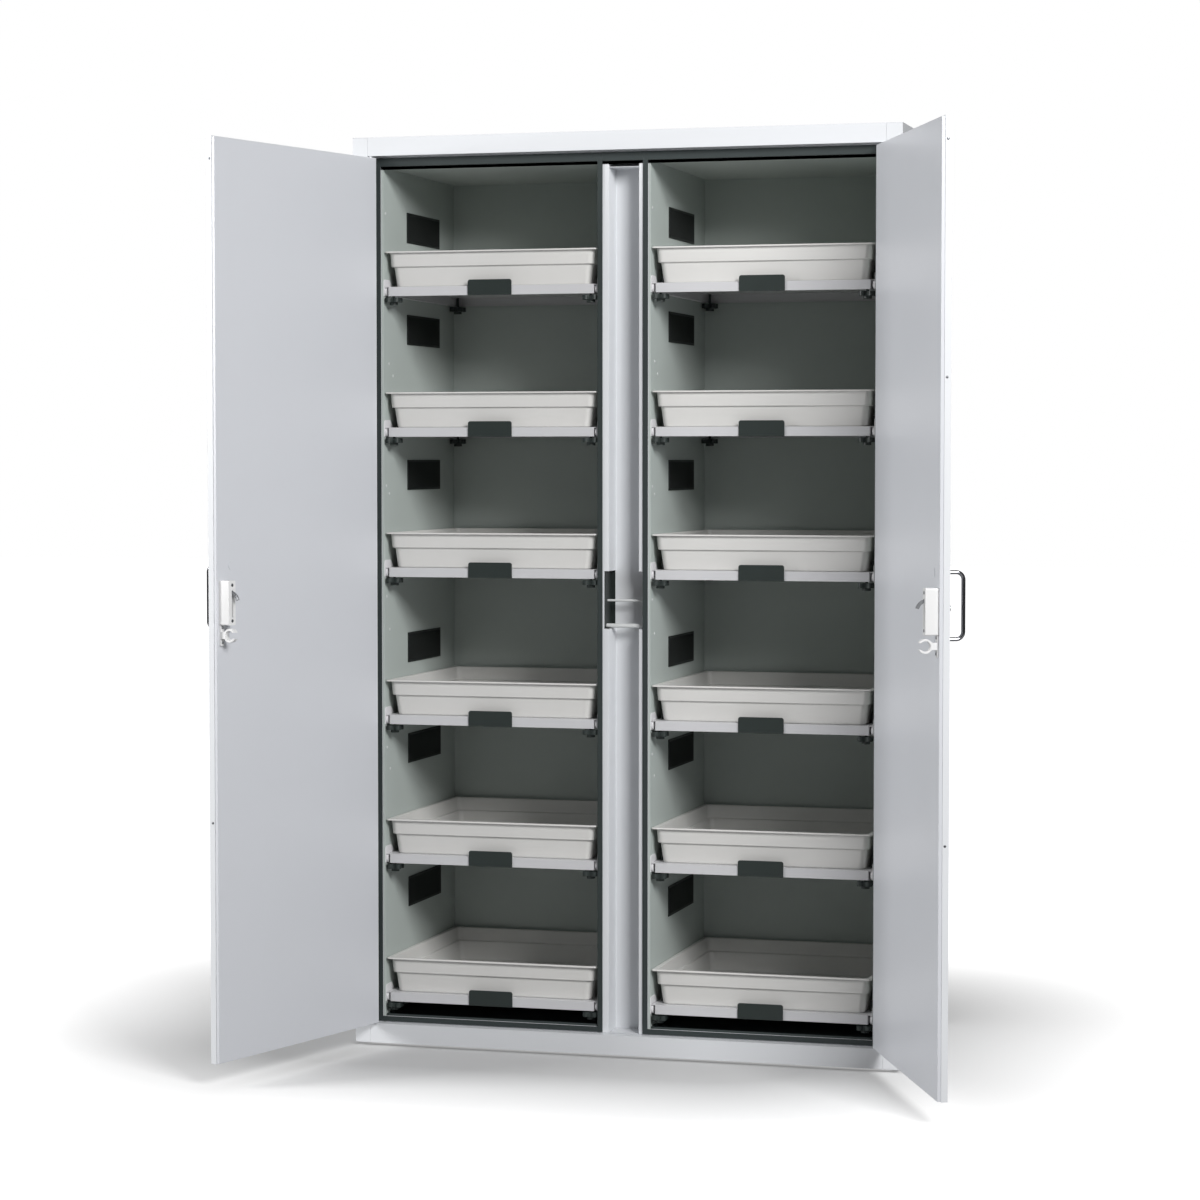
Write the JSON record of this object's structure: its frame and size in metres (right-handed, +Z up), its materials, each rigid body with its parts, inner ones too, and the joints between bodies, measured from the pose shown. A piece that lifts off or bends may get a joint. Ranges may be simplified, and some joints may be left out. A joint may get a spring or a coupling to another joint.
{
  "type": "reagent drawer cabinet",
  "caption": "Two-door ventilated steel cabinet with wing doors and rows of pull-out shelves, each carrying a loose plastic tray for reagent bottles.",
  "frame": {"origin": "on the floor, under the middle of the cabinet's body", "axes": "+Z up; -Y the way the doors face; +X to the right as seen from the front"},
  "size_m": [1.5453, 1.1412, 2.0101],
  "materials": {
    "casing": "light grey powder coat",
    "door_inner": "light grey powder coat",
    "liner_board": "light grey laminate board",
    "tray": "light grey polypropylene",
    "runner": "white powder coat",
    "dark_fitting": "dark grey moulded plastic",
    "gasket": "dark grey intumescent seal",
    "sump": "dark grey polypropylene",
    "vent": "black moulded plastic",
    "strike": "black powder coat",
    "lock_plastic": "white moulded plastic",
    "hook_steel": "zinc plated steel",
    "handle": "polished chrome",
    "lock_core": "nickel plated",
    "foot": "black plastic disc on a steel screw"
  },
  "bodies": {
    "cabinet": {"side_panels": "casing", "top_panel": "casing", "base_plinth": "casing", "back_panel": "casing", "compartment_liners": "liner_board", "centre_column": "casing", "strike_frame": "strike", "door_gaskets": "gasket", "vent_grilles": "vent", "sump_trays": "sump", "wall_runners": "runner", "levelling_feet": "foot"},
    "door_left": {"door_left_skin": "casing", "door_left_liner": "door_inner", "door_left_handle": "handle", "door_left_lock_fittings": "lock_plastic"},
    "hook_left": {"door_left_hook": "hook_steel"},
    "key_left": {"door_left_key": "lock_core"},
    "door_right": {"door_right_skin": "casing", "door_right_liner": "door_inner", "door_right_handle": "handle", "door_right_lock_fittings": "lock_plastic"},
    "hook_right": {"door_right_hook": "hook_steel"},
    "key_right": {"door_right_key": "lock_core"},
    "drawer_left_1": {"drawer_left_1_tray": "tray", "drawer_left_1_frame": "runner", "drawer_left_1_fittings": "dark_fitting"},
    "drawer_left_2": {"drawer_left_2_tray": "tray", "drawer_left_2_frame": "runner", "drawer_left_2_fittings": "dark_fitting"},
    "drawer_left_3": {"drawer_left_3_tray": "tray", "drawer_left_3_frame": "runner", "drawer_left_3_fittings": "dark_fitting"},
    "drawer_left_4": {"drawer_left_4_tray": "tray", "drawer_left_4_frame": "runner", "drawer_left_4_fittings": "dark_fitting"},
    "drawer_left_5": {"drawer_left_5_tray": "tray", "drawer_left_5_frame": "runner", "drawer_left_5_fittings": "dark_fitting"},
    "drawer_left_6": {"drawer_left_6_tray": "tray", "drawer_left_6_frame": "runner", "drawer_left_6_fittings": "dark_fitting"},
    "drawer_right_1": {"drawer_right_1_tray": "tray", "drawer_right_1_frame": "runner", "drawer_right_1_fittings": "dark_fitting"},
    "drawer_right_2": {"drawer_right_2_tray": "tray", "drawer_right_2_frame": "runner", "drawer_right_2_fittings": "dark_fitting"},
    "drawer_right_3": {"drawer_right_3_tray": "tray", "drawer_right_3_frame": "runner", "drawer_right_3_fittings": "dark_fitting"},
    "drawer_right_4": {"drawer_right_4_tray": "tray", "drawer_right_4_frame": "runner", "drawer_right_4_fittings": "dark_fitting"},
    "drawer_right_5": {"drawer_right_5_tray": "tray", "drawer_right_5_frame": "runner", "drawer_right_5_fittings": "dark_fitting"},
    "drawer_right_6": {"drawer_right_6_tray": "tray", "drawer_right_6_frame": "runner", "drawer_right_6_fittings": "dark_fitting"}
  },
  "joints": [
    {"name": "door_left_hinge", "type": "hinge", "parent": "cabinet", "child": "door_left", "pos_m": [-0.5583, -0.2982, 0], "axis": [0, 0, -1], "range_deg": [-106, 14]},
    {"name": "key_left_turn", "type": "hinge", "parent": "door_left", "child": "key_left", "pos_m": [-0.70971, -0.81426, 0.992], "axis": [-0.9613, 0.2756, 0], "range_deg": [0, 90]},
    {"name": "hook_left_turn", "type": "hinge", "parent": "door_left", "child": "hook_left", "pos_m": [-0.6751, -0.82418, 0.984], "axis": [0.2756, 0.9613, 0], "range_deg": [0, 90]},
    {"name": "drawer_left_1_slide", "type": "slide", "parent": "cabinet", "child": "drawer_left_1", "axis": [0, -1, 0], "range_m": [0, 0.375]},
    {"name": "drawer_left_2_slide", "type": "slide", "parent": "cabinet", "child": "drawer_left_2", "axis": [0, -1, 0], "range_m": [0, 0.375]},
    {"name": "drawer_left_3_slide", "type": "slide", "parent": "cabinet", "child": "drawer_left_3", "axis": [0, -1, 0], "range_m": [0, 0.375]},
    {"name": "drawer_left_4_slide", "type": "slide", "parent": "cabinet", "child": "drawer_left_4", "axis": [0, -1, 0], "range_m": [0, 0.375]},
    {"name": "drawer_left_5_slide", "type": "slide", "parent": "cabinet", "child": "drawer_left_5", "axis": [0, -1, 0], "range_m": [0, 0.375]},
    {"name": "drawer_left_6_slide", "type": "slide", "parent": "cabinet", "child": "drawer_left_6", "axis": [0, -1, 0], "range_m": [0, 0.375]},
    {"name": "door_right_hinge", "type": "hinge", "parent": "cabinet", "child": "door_right", "pos_m": [0.5583, -0.2982, 0], "axis": [0, 0, 1], "range_deg": [-113.5, 6.5]},
    {"name": "key_right_turn", "type": "hinge", "parent": "door_right", "child": "key_right", "pos_m": [0.77577, -0.79008, 0.992], "axis": [0.9171, 0.3987, 0], "range_deg": [0, 90]},
    {"name": "hook_right_turn", "type": "hinge", "parent": "door_right", "child": "hook_right", "pos_m": [0.74276, -0.80443, 0.984], "axis": [0.3987, -0.9171, 0], "range_deg": [0, 90]},
    {"name": "drawer_right_1_slide", "type": "slide", "parent": "cabinet", "child": "drawer_right_1", "axis": [0, -1, 0], "range_m": [0, 0.375]},
    {"name": "drawer_right_2_slide", "type": "slide", "parent": "cabinet", "child": "drawer_right_2", "axis": [0, -1, 0], "range_m": [0, 0.375]},
    {"name": "drawer_right_3_slide", "type": "slide", "parent": "cabinet", "child": "drawer_right_3", "axis": [0, -1, 0], "range_m": [0, 0.375]},
    {"name": "drawer_right_4_slide", "type": "slide", "parent": "cabinet", "child": "drawer_right_4", "axis": [0, -1, 0], "range_m": [0, 0.375]},
    {"name": "drawer_right_5_slide", "type": "slide", "parent": "cabinet", "child": "drawer_right_5", "axis": [0, -1, 0], "range_m": [0, 0.375]},
    {"name": "drawer_right_6_slide", "type": "slide", "parent": "cabinet", "child": "drawer_right_6", "axis": [0, -1, 0], "range_m": [0, 0.375]}
  ],
  "couplings": [
    {"joint": "hook_left_turn", "follows": "key_left_turn", "ratio": 1},
    {"joint": "hook_right_turn", "follows": "key_right_turn", "ratio": 1}
  ]
}
